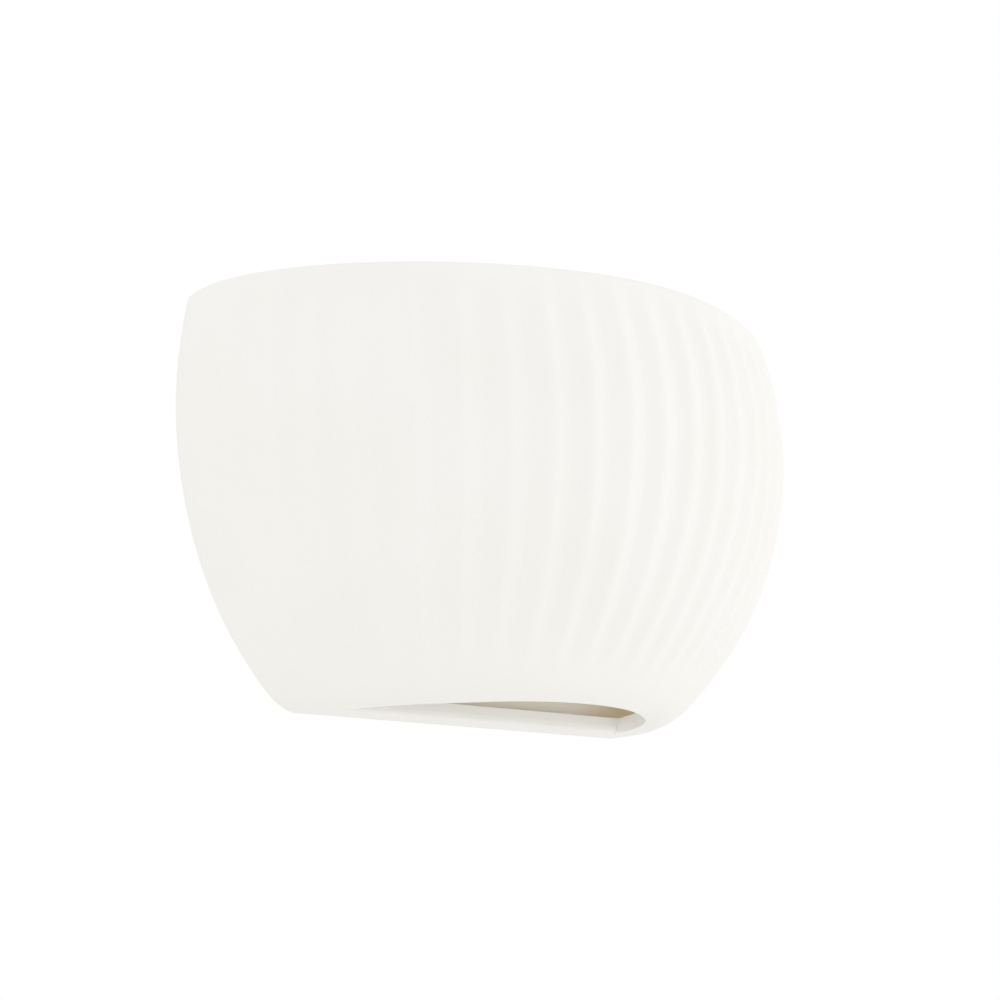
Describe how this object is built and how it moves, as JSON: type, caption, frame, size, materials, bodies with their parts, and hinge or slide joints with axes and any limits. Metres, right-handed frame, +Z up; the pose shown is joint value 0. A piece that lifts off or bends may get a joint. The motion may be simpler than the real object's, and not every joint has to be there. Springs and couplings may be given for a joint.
{
  "type": "wall sconce",
  "caption": "Half-bowl wall sconce: fluted cast shell, open at the top with a D-shaped light slot below, on a wall plate with lampholder and lamp inside.",
  "frame": {"origin": "middle of the two slots that fasten the mounting plate to the box, in the wall's plane", "axes": "+Z up, +Y into the wall, -Y out towards the room, +X to the right when facing the wall"},
  "size_m": [0.3532, 0.1014, 0.165],
  "materials": {
    "cast_shell": "matte warm white, fine cast grain",
    "zinc_steel": "zinc plated",
    "bright_steel": "nickel plated",
    "foam_rubber": "closed-cell foam",
    "white_plate": "satin white powder coat",
    "black_rubber": "matte",
    "porcelain": "glazed",
    "sleeve_metal": "drawn sheet",
    "contact_brass": "bright",
    "block_plastic": "moulded",
    "lead_black": "extruded",
    "lead_white": "extruded",
    "lead_green": "extruded",
    "tinned_copper": "tinned",
    "green_screw": "dyed green",
    "fibre": "vulcanised fibre",
    "knurled_brass": "satin",
    "solder": "solder",
    "black_glass": "vitreous",
    "lamp_cap_metal": "rolled sheet",
    "lamp_plastic": "moulded",
    "opal_plastic": "opal",
    "board_white": "solder mask",
    "led_phosphor": "phosphor",
    "board_green": "solder mask"
  },
  "bodies": {
    "wall_side": {"mounting_plate": "zinc_steel", "shell_studs": "bright_steel", "stud_nuts": "bright_steel"},
    "shell": {"shell_body": "cast_shell", "plate_gasket": "foam_rubber", "cover_plate": "white_plate", "cover_screws": "bright_steel", "cover_nuts": "bright_steel", "cable_grommet": "black_rubber", "socket_bracket": "zinc_steel", "bracket_screws": "bright_steel", "bracket_nuts": "bright_steel", "lampholder_body": "porcelain", "lampholder_screws": "bright_steel", "lampholder_sleeve": "sleeve_metal", "lampholder_contact": "contact_brass", "contact_rivet": "contact_brass", "terminal_block": "block_plastic", "terminal_clamps": "contact_brass", "terminal_screws": "bright_steel", "block_screws": "bright_steel", "lead_line": "lead_black", "lead_neutral": "lead_white", "lead_earth": "lead_green", "earth_lug": "tinned_copper", "earth_washer": "bright_steel", "earth_screw": "green_screw"},
    "washer_left": {"nut_washer_left": "fibre"},
    "nut_left": {"cap_nut_left": "knurled_brass"},
    "washer_right": {"nut_washer_right": "fibre"},
    "nut_right": {"cap_nut_right": "knurled_brass"},
    "lamp_travel": {"lamp_tip": "solder"},
    "lamp": {"lamp_insulator": "black_glass", "lamp_cap": "lamp_cap_metal", "lamp_collar": "lamp_plastic", "lamp_globe": "opal_plastic", "lamp_board": "board_white", "lamp_leds": "led_phosphor", "lamp_driver": "board_green"}
  },
  "joints": [
    {"name": "shell_slide", "type": "slide", "parent": "wall_side", "child": "shell", "axis": [0, -1, 0], "range_m": [0, 0.025]},
    {"name": "washer_left_slide", "type": "slide", "parent": "shell", "child": "washer_left", "axis": [0, -1, 0], "range_m": [0, 0.00881]},
    {"name": "nut_left_turn", "type": "hinge", "parent": "washer_left", "child": "nut_left", "pos_m": [-0.03, -0.015, -0.02], "axis": [0, -1, 0], "range_deg": [0, 3960]},
    {"name": "washer_right_slide", "type": "slide", "parent": "shell", "child": "washer_right", "axis": [0, -1, 0], "range_m": [0, 0.00881]},
    {"name": "nut_right_turn", "type": "hinge", "parent": "washer_right", "child": "nut_right", "pos_m": [0.03, -0.015, -0.02], "axis": [0, -1, 0], "range_deg": [0, 3960]},
    {"name": "lamp_slide", "type": "slide", "parent": "shell", "child": "lamp_travel", "axis": [1, 0, 0], "range_m": [0, 0.0218]},
    {"name": "lamp_turn", "type": "hinge", "parent": "lamp_travel", "child": "lamp", "pos_m": [-0.05, -0.054, 0.016], "axis": [1, 0, 0], "range_deg": [0, 2160]}
  ],
  "couplings": [
    {"joint": "washer_left_slide", "follows": "nut_left_turn", "m_per_rad": 0.00012732},
    {"joint": "washer_right_slide", "follows": "nut_right_turn", "m_per_rad": 0.00012732},
    {"joint": "lamp_slide", "follows": "lamp_turn", "m_per_rad": 0.00057773}
  ]
}
